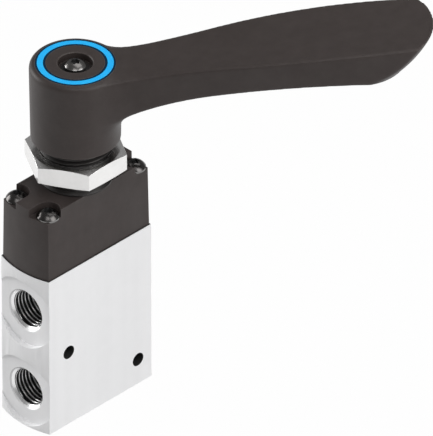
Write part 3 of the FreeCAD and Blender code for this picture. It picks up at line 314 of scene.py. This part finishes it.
nodeLooks = {
    "body aluminium": ["valve_body"],
    "black plastic": ["lever_handle"],
    "housing plastic": ["actuator_housing"],
    "blue plastic": ["marker_ring"],
    "bearing plastic": ["guide_sleeve", "seal_spacers", "thrust_washer"],
    "black rubber": ["housing_gasket", "dust_seal", "seal_rings", "bottom_bumper", "spindle_o_ring"],
    "black bush": ["panel_bush", "lever_washer"],
    "bright nut": ["panel_nut"],
    "dark steel": ["housing_screws"],
    "grey steel": ["lever_screw"],
    "brass": ["seal_retainer", "plunger"],
    "plain steel": ["stop_pin", "bore_retaining_ring", "spindle", "cam_barrel", "cam_pin", "spool",
                    "spool_lock_nut", "cross_pin", "follower_rollers"],
}
for look, nodes in nodeLooks.items():
    for node in nodes:
        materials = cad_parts[node].data.materials
        materials.clear()
        materials.append(looks[look])
print("carried-over nodes have their materials")


# Shape helpers

def roundedPath(corners, arcSteps=4):  # corners: (across, up) or (across, up, rounding)
    points = []
    for index, corner in enumerate(corners):
        here = Vector(corner[:2])
        size = corner[2] if len(corner) > 2 else 0
        if not size:
            points.append(here)
            continue
        back = Vector(corners[index - 1][:2]) - here
        ahead = Vector(corners[(index + 1) % len(corners)][:2]) - here
        half = back.angle(ahead) / 2
        reach = min(size / math.tan(half), back.length * 0.49, ahead.length * 0.49)
        size = reach * math.tan(half)
        start = here + back.normalized() * reach
        end = here + ahead.normalized() * reach
        centre = here + (back.normalized() + ahead.normalized()).normalized() * (size / math.sin(half))
        first, last = start - centre, end - centre
        turn = first.angle(last)
        for step in range(arcSteps + 1):
            share = step / arcSteps
            points.append(centre + (first * math.sin((1 - share) * turn) + last * math.sin(share * turn))
                          / math.sin(turn))
    return points


def spin(form, path, centre=(0, 0), steps=96, closed=False):  # path: (radius, height) in mm
    before = set(form.verts)
    verts = [form.verts.new(((centre[0] + point[0]) * mm, centre[1] * mm, point[1] * mm)) for point in path]
    edges = [form.edges.new(pair) for pair in zip(verts, verts[1:])]
    if closed:
        edges.append(form.edges.new((verts[-1], verts[0])))
    bmesh.ops.spin(form, geom=verts + edges, cent=(centre[0] * mm, centre[1] * mm, 0), axis=(0, 0, 1),
                   angle=2 * math.pi, steps=steps, use_merge=True)
    made = [vert for vert in form.verts if vert not in before]
    bmesh.ops.remove_doubles(form, verts=made, dist=mergeGap)


def threadSection(pitch, half):  # half: (radius, share of the pitch), from the base to the crest
    lower = [(radius, -share * pitch) for radius, share in half]
    return lower + [(radius, -up) for radius, up in reversed(lower)]


def coil(form, section, pitch, turns, perTurn, fade, baseRadius):
    # A helical ridge in mm round Z, which runs out at both ends
    before = set(form.verts)
    verts = [form.verts.new((across * mm, 0, up * mm)) for across, up in section]
    edges = [form.edges.new(pair) for pair in zip(verts, verts[1:] + verts[:1])]
    steps = int(turns * perTurn)
    bmesh.ops.spin(form, geom=verts + edges, cent=(0, 0, 0), axis=(0, 0, 1), angle=2 * math.pi * steps / perTurn,
                   dvec=(0, 0, pitch * mm / perTurn), steps=steps, use_merge=False)
    made = [vert for vert in form.verts if vert not in before]
    known = set(made)
    for vert in made:
        angle = math.atan2(vert.co.y, vert.co.x) / (2 * math.pi)
        turn = round(vert.co.z / (pitch * mm) - angle) + angle
        share = max(0.0, min(1.0, turn / fade, (turns - turn) / fade))
        radius = math.hypot(vert.co.x, vert.co.y) / mm
        wanted = baseRadius + (radius - baseRadius) * share
        vert.co.x *= wanted / radius
        vert.co.y *= wanted / radius
    ends = [edge for edge in form.edges if edge.is_boundary and all(vert in known for vert in edge.verts)]
    bmesh.ops.contextual_create(form, geom=ends)
    return made


def raiseFaces(form, faces, height):
    raised = bmesh.ops.extrude_face_region(form, geom=faces)["geom"]
    bmesh.ops.translate(form, verts=[item for item in raised if isinstance(item, bmesh.types.BMVert)],
                        vec=(0, 0, height * mm))


def addObject(name, data):
    piece = bpy.data.objects.new(name, data)
    bpy.context.scene.collection.objects.link(piece)
    return piece


def meshFrom(form, name):
    bmesh.ops.recalc_face_normals(form, faces=form.faces)
    data = bpy.data.meshes.new(name)
    form.to_mesh(data)
    form.free()
    return data


def finishPiece(name, form, look, body="root", replaces=(), sharp=32):
    bmesh.ops.remove_doubles(form, verts=form.verts, dist=mergeGap)
    return finishMesh(name, meshFrom(form, name), look, body, replaces, sharp)


def finishMesh(name, data, look, body="root", replaces=(), sharp=32, around=None):
    if data.materials:
        data.materials.clear()
    for entry in ([look] if isinstance(look, str) else look):
        data.materials.append(looks[entry])
    data.shade_smooth()
    data.set_sharp_from_angle(angle=math.radians(sharp))
    if around:
        addAround(data, around)
    piece = addObject(name, data)
    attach(piece, body)
    if replaces:
        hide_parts(*replaces)
    return piece


def addAround(data, axes):  # each point's place from the nearest upright axis
    field = data.attributes.new("around", "FLOAT_VECTOR", "POINT")
    for vert, entry in zip(data.vertices, field.data):
        nearest = min(axes, key=lambda axis: math.hypot(vert.co.x - axis[0] * mm, vert.co.y - axis[1] * mm))
        entry.vector = (vert.co.x - nearest[0] * mm, vert.co.y - nearest[1] * mm, vert.co.z)


def looseMesh(form):
    return addObject("working", meshFrom(form, "working"))


def carve(base, cutter, operation="DIFFERENCE"):  # the cutter is removed
    change = base.modifiers.new("carve", "BOOLEAN")
    change.solver = "EXACT"
    change.operation = operation
    change.object = cutter
    bakeModifiers(base)
    bpy.data.objects.remove(cutter)


def bakeModifiers(base):
    graph = bpy.context.evaluated_depsgraph_get()
    graph.update()
    made = bpy.data.meshes.new_from_object(base.evaluated_get(graph))
    base.modifiers.clear()
    base.data = made


def cadCopy(node):  # merged copy of a CAD node, with whole flat faces
    form = bmesh.new()
    form.from_mesh(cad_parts[node].data)
    bmesh.ops.remove_doubles(form, verts=form.verts, dist=mergeGap)
    bmesh.ops.dissolve_limit(form, angle_limit=math.radians(flatAngle), use_dissolve_boundaries=False,
                             verts=form.verts, edges=form.edges)
    return form


def takeData(base):
    data = base.data
    bpy.data.objects.remove(base)
    if "custom_normal" in data.attributes:
        data.attributes.remove(data.attributes["custom_normal"])
    return data


def softEdges(piece, width, angle):
    change = piece.modifiers.new("soft edges", "BEVEL")
    change.width = width * mm
    change.segments = 2
    change.limit_method = "ANGLE"
    change.angle_limit = math.radians(angle)
    change.harden_normals = True


# Valve body: satin block with ported front, soft machined edges
valve = {
    "portHeights": {"front": (11.7, 40.0), "back": (25.85,)}, "portReach": 6.7, "face": 19.6,
    "holes": [(-13.1, 25.8), (15.6, 8.7)], "holeReach": 2.3, "side": 9.9,
    "boreReach": 5.8, "boreEnd": 1, "softEdge": 0.24,
    "threadMajor": 6.62, "threadMinor": 5.72, "crestDrop": 0.07, "pitch": 1.337, "fade": 0.35,
    "threadStart": 0.95, "threadDepth": 9.4,
    "mouth": 21.05, "mouthFace": 7.1, "mouthThroat": 5.85, "mouthDepth": 1.05, "mouthBack": 0.8, "mouthLip": 0.2,
}


def makeBody():
    form = cadCopy("valve_body")
    for face in form.faces:
        spot = face.calc_center_median() / mm
        inHole = abs(spot.x) < valve["side"] and any(
            math.hypot(spot.y - across, spot.z - up) < valve["holeReach"] for across, up in valve["holes"])
        inPort = abs(spot.y) < valve["face"] and any(
            math.hypot(spot.x, spot.z - up) < valve["portReach"] for up in sum(valve["portHeights"].values(), ()))
        inBore = math.hypot(spot.x, spot.y) < valve["boreReach"] and spot.z > valve["boreEnd"]
        # Faces inside the mounting holes, ports and central bore get the painted shade material
        if inHole or inPort or inBore:
            face.material_index = 1
    body = finishPiece("valve_body_block", form, ["body aluminium", "painted bore shade"], replaces=("valve_body",))
    softEdges(body, valve["softEdge"], 40)


def placeInPort(form, facing, start, height, turn):  # facing: -1 front, 1 back
    tilt = Matrix.Rotation(math.radians(turn * facing), 4, "X")
    form.transform(Matrix.Translation((0, facing * start * mm, height * mm)) @ tilt)


def makePortThreads():
    pitch, outer, inner = valve["pitch"], valve["threadMajor"], valve["threadMinor"]
    section = threadSection(pitch, [(outer, 0.47), (inner + valve["crestDrop"], 0.17), (inner, 0.09)])
    face, throat, depth = valve["mouthFace"], valve["mouthThroat"], valve["mouthDepth"]
    count = 0
    for side, heights in valve["portHeights"].items():
        facing = -1 if side == "front" else 1
        for height in heights:
            count += 1
            form = bmesh.new()
            coil(form, section, pitch, valve["threadDepth"] / pitch, 72, valve["fade"], outer)
            for part in form.faces:
                spot = part.calc_center_median()
                # Crests keep cut aluminium; flanks and roots get the painted thread shade
                part.material_index = int(math.hypot(spot.x, spot.y) / mm > inner + 0.06)
            placeInPort(form, facing, valve["mouth"] - valve["threadStart"], height, 90)
            finishPiece("port_thread_%d" % count, form, ["cut aluminium", "painted thread shade"])
            form = bmesh.new()
            spin(form, [(face, 0), (throat, -depth), (throat + valve["mouthBack"], -depth),
                        (face, -valve["mouthLip"])], closed=True)
            placeInPort(form, facing, valve["mouth"], height, -90)
            finishPiece("port_mouth_%d" % count, form, "cut aluminium", sharp=20)


makeBody()
makePortThreads()
print("valve body")


# Panel bush: black sleeve with a fine outer thread
bush = {"root": 10.12, "crest": 10.98, "pitch": 1.5, "base": 78.1, "top": 92.2, "spigot": 8.0,
        "spigotBase": 75.5, "bore": 5.1, "seat": 7.6, "seatFloor": 90.0, "runIn": 1.2, "runOut": 0.7}


def makeBush():
    form = bmesh.new()
    root, crest, base, top = bush["root"], bush["crest"], bush["base"], bush["top"]
    spin(form, roundedPath([
        (bush["bore"], bush["spigotBase"]), (bush["spigot"], bush["spigotBase"], 0.2), (bush["spigot"], base),
        (crest, base), (crest, base + 0.5, 0.1), (root, base + bush["runIn"], 0.1), (root, top - 0.5, 0.2),
        (root - 0.4, top, 0.1), (bush["seat"], top, 0.1), (bush["seat"], bush["seatFloor"]),
        (bush["bore"], bush["seatFloor"])]), steps=128, closed=True)
    pitch = bush["pitch"]
    turns = (top - base - bush["runIn"] - bush["runOut"]) / pitch
    sunk = root - 0.02
    section = threadSection(pitch, [(sunk, 0.44), (crest - 0.06, 0.09), (crest, 0.05)])
    made = coil(form, section, pitch, turns, 96, 0.3, sunk)
    bmesh.ops.translate(form, verts=made, vec=(0, 0, (base + bush["runIn"]) * mm))
    finishPiece("threaded_bush", form, "black bush", replaces=("panel_bush",))


makeBush()
print("panel bush")


# Panel nut: thin bright hexagon with both faces chamfered
nut = {"flats": 27.0, "base": 82.8, "top": 89.0, "land": 13.35, "lowDrop": 0.3, "highDrop": 0.75,
       "bore": 10.2, "boreEdge": 11.1, "boreDrop": 0.9, "cornerRoom": 0.2, "softEdge": 0.06}


def makeNut():
    form = bmesh.new()
    low, high, corner = nut["base"], nut["top"], nut["flats"] / math.sqrt(3)
    found = bmesh.ops.create_circle(form, segments=6, radius=corner * mm, cap_ends=True)
    bmesh.ops.translate(form, verts=found["verts"], vec=(0, 0, low * mm))
    raiseFaces(form, form.faces[:], high - low)
    prism = looseMesh(form)
    form = bmesh.new()
    corner += nut["cornerRoom"]
    spin(form, [(nut["bore"], low + nut["boreDrop"]), (nut["boreEdge"], low), (nut["land"], low),
                (corner, low + nut["lowDrop"]), (corner, high - nut["highDrop"]), (nut["land"], high),
                (nut["boreEdge"], high), (nut["bore"], high - nut["boreDrop"])], steps=192, closed=True)
    carve(prism, looseMesh(form), "INTERSECT")
    piece = finishMesh("hexagon_nut", takeData(prism), ["bright nut", "nut face"], replaces=("panel_nut",),
                       sharp=12)
    for face in piece.data.polygons:
        face.material_index = int(abs(face.normal.z) > 0.9)
    softEdges(piece, nut["softEdge"], 30)


makeNut()
print("panel nut")


# Screws: domed heads with hexalobular sockets
housingScrews = {"axes": [(6.45, 17.85), (6.45, -17.85), (-6.45, 17.85), (-6.45, -17.85)], "seat": 75.5,
                 "head": 6.85, "flange": 0.45, "dome": 2.0, "shank": 2.0, "end": 46.5, "socket": 1.42}
leverScrew = {"axes": [(0, 0)], "seat": 116.7, "head": 6.48, "flange": 1.1, "dome": 1.4, "shank": 2.0,
              "end": 103.0, "socket": 1.32}
screws = {"lobes": 6, "lobeDepth": 0.15, "lobeShape": 0.02, "socketReach": 1.17, "socketDepth": 0.85,
          "tip": 0.5, "softEdge": 0.07}


def starPrism(form, radius, base, top, centre):  # six rounded lobes
    found = bmesh.ops.create_circle(form, segments=72, radius=radius * mm, cap_ends=True)
    for vert in found["verts"]:
        angle = math.atan2(vert.co.y, vert.co.x)
        vert.co *= (1 + screws["lobeDepth"] * math.cos(screws["lobes"] * angle)
                    + screws["lobeShape"] * math.cos(2 * screws["lobes"] * angle))
    bmesh.ops.translate(form, verts=found["verts"], vec=(centre[0] * mm, centre[1] * mm, base * mm))
    made = set(found["verts"])
    raiseFaces(form, [face for face in form.faces if all(vert in made for vert in face.verts)], top - base)


def makeScrews(name, sizes, node, body, look):
    heads = bmesh.new()
    stars = bmesh.new()
    edge = sizes["head"] / 2
    seat, crown = sizes["seat"], sizes["seat"] + sizes["flange"] + sizes["dome"]
    ball = (edge ** 2 + sizes["dome"] ** 2) / (2 * sizes["dome"])
    socketFloor = crown - sizes["dome"] * screws["socketDepth"]
    arc = []
    for step in range(17):
        angle = math.asin(edge / ball) * (1 - step / 16)
        arc.append((ball * math.sin(angle), crown - ball + ball * math.cos(angle)))
    for axis in sizes["axes"]:
        spin(heads, roundedPath([(0, sizes["end"]), (sizes["shank"] - 0.4, sizes["end"], 0.1),
                                 (sizes["shank"], sizes["end"] + screws["tip"]), (sizes["shank"], seat),
                                 (edge, seat, 0.12)]) + arc, axis, 72)
        starPrism(stars, sizes["socket"], socketFloor, crown + 1, axis)
    blank = looseMesh(heads)
    carve(blank, looseMesh(stars))
    piece = finishMesh(name, takeData(blank), [look, "painted bore shade", "lit rim"], body, (node,), 28,
                       sizes["axes"])
    # Socket walls and floor get painted shade; the flange band gets a painted highlight (lit rim)
    for face in piece.data.polygons:
        spot = face.center / mm
        away = min(math.hypot(spot.x - x, spot.y - y) for x, y in sizes["axes"])
        inside = away < sizes["socket"] * screws["socketReach"] and spot.z > seat
        if inside and (face.normal.z < 0.6 or abs(spot.z - socketFloor) < 0.05):
            face.material_index = 1
        elif seat < spot.z < seat + sizes["flange"] + 0.1:
            face.material_index = 2
        else:
            face.material_index = 0
    softEdges(piece, screws["softEdge"], 35)


makeScrews("domed_screws", housingScrews, "housing_screws", "root", "dark steel")
makeScrews("lever_dome_screw", leverScrew, "lever_screw", "lever", "grey steel")
print("screws")


# Lever: hub and grip moulded in one, blended where the neck leaves the hub
lever = {
    "turn": 45.0, "base": 93.1, "top": 118.6, "lowRadius": 13.35, "highRadius": 13.7, "rounding": 1.8,
    "neckHalf": 9.2, "flare": 18.0, "neckEnd": 18.0, "neckRadius": 140.0, "join": (40.436, 11.15),
    "gripRadius": 250.0, "tip": (110.0, 12.6), "bowAxis": 82.2, "bowLow": 14.85, "bowCurve": 45.0,
    "bowStart": 2.15, "reach": 105.2, "rise": 14.4, "voxel": 0.36, "soft": 0.5, "around": 200,
    "dish": 0.45, "dishStart": 26, "dishFade": 30, "dishWidth": 8, "web": 6.6, "webHub": 13.4,
    "under": ((5, -18.13), (88, 1.42)), "underRadius": 186, "armEnd": 107, "hub": 13.5,
    "crease": ((5, 117.6), (8, 117.75), (12, 117.95), (15, 118.3), (18, 118.8), (21, 119.4)),
    "upperStart": (24, 120.1), "upperRadius": 545, "station": 0.8, "tipShare": 0.7, "tipSteps": 40,
    "groove": (8.76, 11.89, 0.9), "screwHole": (2.15, 102.5), "recess": (5.2, 2.4), "recessEdge": (6.4, 0.2),
    "spindleSeat": 7.61, "hollow": ((7.6, 109.9), (8.0, 110.4), (10.6, 110.4), (11.05, 109.9)),
}
smoothing = {"rounds": 400, "share": 0.8, "slide": 0.3, "normalsEvery": 8,
             "far": (30, 8), "near": (2, 5), "low": (94, 2)}  # edge of the region and its fade, in mm


def arcBetween(start, end, radius, side, steps=24):  # side 1 bulges to the right of the way, -1 to the left
    start, end = Vector(start), Vector(end)
    chord = end - start
    right = Vector((chord.y, -chord.x)).normalized()
    centre = (start + end) / 2 - right * side * math.sqrt(radius ** 2 - (chord.length / 2) ** 2)
    first, last = start - centre, end - centre
    turn = first.angle(last)
    return [centre + (first * math.sin((1 - step / steps) * turn) + last * math.sin(step / steps * turn))
            / math.sin(turn) for step in range(steps + 1)]


def armCurves():
    # Top, underside, plan half width and the bow's radius, each as steadily rising points
    top = lever["top"]
    start, end = [(along, top + up) for along, up in lever["under"]]
    under = arcBetween(start, end, lever["underRadius"], -1, 32) + [Vector((lever["armEnd"], end[1]))]
    upper = [Vector(point) for point in lever["crease"]]
    upper += arcBetween(lever["upperStart"], (lever["armEnd"], top + lever["rise"]), lever["upperRadius"], -1, 32)
    hub, neck, flare = lever["hub"], lever["neckHalf"], lever["flare"]
    across = math.sqrt((hub + flare) ** 2 - (neck + flare) ** 2)
    leave = Vector((across, neck + flare)) * hub / (hub + flare)
    side = [Vector((0, leave.y))] + arcBetween(leave, (across, neck), flare, 1, 16)
    side += arcBetween((max(across, lever["neckEnd"]), neck), lever["join"], lever["neckRadius"], 1, 16)
    side += arcBetween(lever["join"], lever["tip"], lever["gripRadius"], -1, 40)
    outer = lever["reach"] - lever["bowAxis"]
    bow = arcBetween((lever["bowLow"], top + lever["bowStart"]), (outer, top + lever["rise"]),
                     lever["bowCurve"], 1, 16)
    return [np.array([tuple(point) for point in curve]) for curve in (upper, under, side, bow)]


def armSection(along, upper, under, side, bow):
    # Outline across the arm at one distance from the axis, evenly spaced and with softened corners
    high = np.interp(along, upper[:, 0], upper[:, 1])
    low = np.interp(along, under[:, 0], under[:, 1])
    wide = np.interp(along, side[:, 0], side[:, 1])
    beyond = max(along - lever["bowAxis"], 0)
    heights = np.linspace(high, low, 60)
    reach = np.interp(heights, bow[:, 1], bow[:, 0]) ** 2 - beyond ** 2
    if beyond == 0:
        reach[:] = wide ** 2
    heights = heights[reach > 0]
    halves = np.minimum(wide, np.sqrt(reach[reach > 0]))
    if len(halves) < 2:
        return None
    edge = halves[0]
    across = np.linspace(0, edge, 16)
    depth = min(max((along - lever["dishStart"]) / lever["dishFade"], 0), 1) * min(edge / lever["dishWidth"], 1)
    dish = lever["dish"] * depth * (1 - (across / edge) ** 2)
    half = [(v, high - drop) for v, drop in zip(across, dish)] + list(zip(halves, heights))
    web = lever["web"]
    sag = web - math.sqrt(web ** 2 - min(max(web + lever["webHub"] - along, 0), web) ** 2)
    half += [(v, heights[-1] - sag * (1 - (v / halves[-1]) ** 2)) for v in np.linspace(halves[-1], 0, 16)[1:]]
    ring = np.array(half + [(-v, z) for v, z in half[-2:0:-1]])
    loop = np.vstack([ring, ring[:1]])
    length = np.append(0, np.cumsum(np.hypot(*np.diff(loop, axis=0).T)))
    spots = np.linspace(0, length[-1], lever["around"] + 1)[:-1]
    even = np.stack([np.interp(spots, length, loop[:, 0]), np.interp(spots, length, loop[:, 1])], 1)
    soft = min(lever["soft"], length[-1] / 50) / (length[-1] / lever["around"])
    gaps = np.arange(lever["around"])
    gaps = np.minimum(gaps, lever["around"] - gaps)
    weight = np.exp(-0.5 * (gaps / soft) ** 2)
    weight = np.fft.fft(weight / weight.sum())
    return np.stack([np.fft.ifft(np.fft.fft(even[:, k]) * weight).real for k in range(2)], 1)


def armLoft(form):
    # The arm drawn out section by section to its round tip
    curves = armCurves()
    bow = lever["reach"] - lever["bowAxis"]
    steps = lever["tipSteps"]
    stations = list(np.arange(0, lever["bowAxis"] + bow * lever["tipShare"], lever["station"]))
    start = math.asin((stations[-1] - lever["bowAxis"]) / bow)
    stations += [lever["bowAxis"] + bow * math.sin(start + (math.pi / 2 - start) * step / steps)
                 for step in range(1, steps)]
    ring, edges = None, None
    for along in stations:
        outline = armSection(along, *curves)
        if outline is None:
            break
        if ring is None:
            ring = [form.verts.new((along * mm, v * mm, z * mm)) for v, z in outline]
            edges = [form.edges.new(pair) for pair in zip(ring, ring[1:] + ring[:1])]
            bmesh.ops.contextual_create(form, geom=edges)
            continue
        made = bmesh.ops.extrude_edge_only(form, edges=edges)["geom"]
        fresh = {item for item in made if isinstance(item, bmesh.types.BMVert)}
        ring = [next(edge.other_vert(vert) for edge in vert.link_edges if edge.other_vert(vert) in fresh)
                for vert in ring]
        edges = [item for item in made if isinstance(item, bmesh.types.BMEdge)
                 and all(vert in fresh for vert in item.verts)]
        for vert, (v, z) in zip(ring, outline):
            vert.co = (along * mm, v * mm, z * mm)
    bmesh.ops.contextual_create(form, geom=edges)


def relax(data, rounds, share=0.5, hollows=None):
    # With hollows, only points of that region that lie in a hollow move, outwards
    count = len(data.vertices)
    places = np.empty(count * 3)
    data.vertices.foreach_get("co", places)
    places = places.reshape(-1, 3)
    pairs = np.empty(len(data.edges) * 2, int)
    data.edges.foreach_get("vertices", pairs)
    one, two = pairs.reshape(-1, 2).T
    degree = np.bincount(pairs, minlength=count)
    weight = None if hollows is None else hollows(places)
    for turn in range(rounds):
        around = np.stack([np.bincount(one, places[two, k], count) + np.bincount(two, places[one, k], count)
                           for k in range(3)], 1) / degree[:, None]
        move = (around - places) * share
        if hollows is not None:
            if turn % smoothing["normalsEvery"] == 0:
                data.vertices.foreach_set("co", places.ravel())
                data.update()
                normals = np.empty(count * 3)
                data.vertex_normals.foreach_get("vector", normals)
                normals = normals.reshape(-1, 3)
            outward = (move * normals).sum(1)
            slide = smoothing["slide"] * (move - outward[:, None] * normals)
            move = (np.maximum(outward, 0)[:, None] * normals + slide) * weight[:, None]
        places += move
    data.vertices.foreach_set("co", places.ravel())
    data.update()


def neckRegion(places):
    along = places[:, 0] / mm
    up = places[:, 2] / mm
    (far, farFade), (near, nearFade), (low, lowFade) = smoothing["far"], smoothing["near"], smoothing["low"]
    reach = np.clip((far - along) / farFade, 0, 1) * np.clip((along - near) / nearFade, 0, 1)
    return reach * np.clip((up - low) / lowFade, 0, 1)


def makeLever():
    form = bmesh.new()
    armLoft(form)
    arm = looseMesh(form)
    top, base = lever["top"], lever["base"]
    below = base - 1
    form = bmesh.new()
    spin(form, roundedPath([(0, below), (lever["lowRadius"], below, 0.3),
                            (lever["highRadius"], top, lever["rounding"]), (0, top)], 8), steps=128)
    carve(arm, looseMesh(form), "UNION")
    remesh = arm.modifiers.new("voxels", "REMESH")
    remesh.mode = "VOXEL"
    remesh.voxel_size = lever["voxel"] * mm
    bakeModifiers(arm)
    relax(arm.data, 2)
    relax(arm.data, smoothing["rounds"], smoothing["share"], neckRegion)
    relax(arm.data, 3)
    form = bmesh.new()
    inner, outer, depth = lever["groove"]
    spin(form, [(inner, top - depth), (outer, top - depth), (outer, top + 1), (inner, top + 1)],
         steps=128, closed=True)
    hole, holeFloor = lever["screwHole"]
    (flat, flatDrop), (edge, edgeDrop) = lever["recess"], lever["recessEdge"]
    spin(form, [(0, holeFloor), (hole, holeFloor), (hole, top - flatDrop), (flat, top - flatDrop),
                (flat, top - edgeDrop), (edge, top + 1), (0, top + 1)])
    below, hollow = base - 3, lever["hollow"]
    spin(form, [(hollow[0][0], below), (20, below), (20, base), (hollow[-1][0], base), *reversed(hollow)],
         steps=128, closed=True)
    seat = lever["spindleSeat"]
    spin(form, [(0, below), (seat, below), (seat, base), (0, base)])
    carve(arm, looseMesh(form))
    data = takeData(arm)
    data.transform(Matrix.Rotation(math.radians(lever["turn"]), 4, "Z"))
    finishMesh("lever_grip", data, "black plastic", "lever", ("lever_handle",), 35)
    print("lever faces", len(data.polygons))


marker = {"inner": 8.8, "outer": 11.85, "faceInner": 9.5, "faceOuter": 11.3, "depth": 0.75, "rim": 0.04}


def makeMarkerRing():
    form = bmesh.new()
    top = lever["top"]
    low, rim = top - marker["depth"], top - marker["rim"]
    spin(form, [(marker["inner"], low), (marker["outer"], low), (marker["outer"], rim), (marker["faceOuter"], top),
                (marker["faceInner"], top), (marker["inner"], rim)], steps=160, closed=True)
    piece = finishPiece("marker_band", form, ["blue plastic", "painted blue gap shade"], "lever", ("marker_ring",))
    for face in piece.data.polygons:
        away = math.hypot(face.center.x, face.center.y) / mm
        # The ring's side and edge faces get the painted gap shade; the flat top stays blue
        face.material_index = int(not marker["faceInner"] < away < marker["faceOuter"])


makeLever()
makeMarkerRing()
print("lever")


# Moulded housing with soft edges
gasket = {"base": 55.0, "top": 55.5, "pressed": 55.14, "inset": (0.985, 0.993)}
housing = {"softEdge": 0.18}


def makeGasket():
    form = cadCopy("housing_gasket")
    for vert in form.verts:
        vert.co.x *= gasket["inset"][0]
        vert.co.y *= gasket["inset"][1]
        if vert.co.z > (gasket["base"] + 0.1) * mm:
            vert.co.z = gasket["pressed"] * mm
    finishPiece("pressed_gasket", form, "black rubber", replaces=("housing_gasket",))


def makeHousing():
    form = cadCopy("actuator_housing")
    for vert in form.verts:
        if abs(vert.co.z / mm - gasket["top"]) < 0.02:
            vert.co.z = gasket["pressed"] * mm
    piece = finishPiece("moulded_housing", form, "housing plastic",
                        replaces=("actuator_housing",), sharp=30)
    softEdges(piece, housing["softEdge"], 35)


makeGasket()
makeHousing()
print("housing")


# Studio: pale floor, soft lamps, long lens
studio = {"floor": 3, "floorDrop": 0.05, "floorTone": 0.45, "floorGlow": 0.985, "light": 0.24,
          "lampAim": (0.02, 0.02, 0.06)}
camera = {"sensor": 36, "lens": 1600, "near": 0.01, "far": 60, "aim": (0.02912, 0.02936, 0.06270),
          "away": (1, -1, 1), "frame": 0.1284}
lamps = [
    # name, place, size, watts
    ("right window", (0.62, 0.14, 0.48), 0.55, 3.6),
    ("left window", (-0.85, -0.32, 0.30), 0.50, 5.0),
    ("front panel", (0.36, -0.42, 0.78), 0.45, 1.5),
    ("top panel", (0.0, 0.3, 0.85), 0.60, 1.6),
]


def emptyTree(owner):
    owner.use_nodes = True
    owner.node_tree.nodes.clear()
    return owner.node_tree


def mixInto(tree, end, share, first, second):
    mix = addNode(tree, "ShaderNodeMixShader")
    join(tree, share, mix.inputs["Fac"])
    join(tree, first.outputs[0], mix.inputs[1])
    join(tree, second.outputs[0], mix.inputs[2])
    join(tree, mix.outputs[0], addNode(tree, end).inputs["Surface"])


def makeFloor():
    form = bmesh.new()
    bmesh.ops.create_grid(form, x_segments=1, y_segments=1, size=studio["floor"])
    data = bpy.data.meshes.new("floor")
    form.to_mesh(data)
    form.free()
    floor = addObject("floor", data)
    floor.location = (0, 0, -studio["floorDrop"] * mm)
    material = bpy.data.materials.new("pale floor")
    data.materials.append(material)
    tree = emptyTree(material)
    matt = addNode(tree, "ShaderNodeBsdfDiffuse", {"Color": (*[studio["floorTone"]] * 3, 1)})
    glow = addNode(tree, "ShaderNodeEmission", {"Color": (1, 1, 1, 1)})
    path = addNode(tree, "ShaderNodeLightPath")
    seen = combine(tree, "MAXIMUM", path.outputs["Is Camera Ray"],
                   combine(tree, "MAXIMUM", path.outputs["Is Glossy Ray"], path.outputs["Is Transmission Ray"]))
    mixInto(tree, "ShaderNodeOutputMaterial", combine(tree, "MULTIPLY", seen, studio["floorGlow"]), matt, glow)


def makeWorld():
    world = bpy.data.worlds.new("studio")
    bpy.context.scene.world = world
    tree = emptyTree(world)
    lighting = addNode(tree, "ShaderNodeBackground", {"Color": (1, 1, 1, 1), "Strength": studio["light"]})
    white = addNode(tree, "ShaderNodeBackground", {"Color": (1, 1, 1, 1), "Strength": 1.0})
    path = addNode(tree, "ShaderNodeLightPath")
    mixInto(tree, "ShaderNodeOutputWorld", path.outputs["Is Camera Ray"], lighting, white)


def makeLamps():
    for name, place, size, power in lamps:
        lamp = bpy.data.lights.new(name, "AREA")
        lamp.size = size
        lamp.energy = power
        holder = addObject(name, lamp)
        holder.location = place
        holder.rotation_mode = "QUATERNION"
        holder.rotation_quaternion = (Vector(place) - Vector(studio["lampAim"])).to_track_quat("Z", "Y")


def makeCamera():
    lens = bpy.data.cameras.new("camera")
    lens.sensor_width = camera["sensor"]
    lens.lens = camera["lens"]
    lens.clip_start = camera["near"]
    lens.clip_end = camera["far"]
    holder = addObject("camera", lens)
    back = Vector(camera["away"]).normalized()
    distance = camera["frame"] * camera["lens"] / camera["sensor"]  # the frame's width in m, at the aim
    holder.location = Vector(camera["aim"]) + back * distance
    holder.rotation_mode = "QUATERNION"
    holder.rotation_quaternion = back.to_track_quat("Z", "Y")
    bpy.context.scene.camera = holder


makeFloor()
makeWorld()
makeLamps()
makeCamera()
bpy.context.scene.view_settings.view_transform = "Standard"
print("studio")
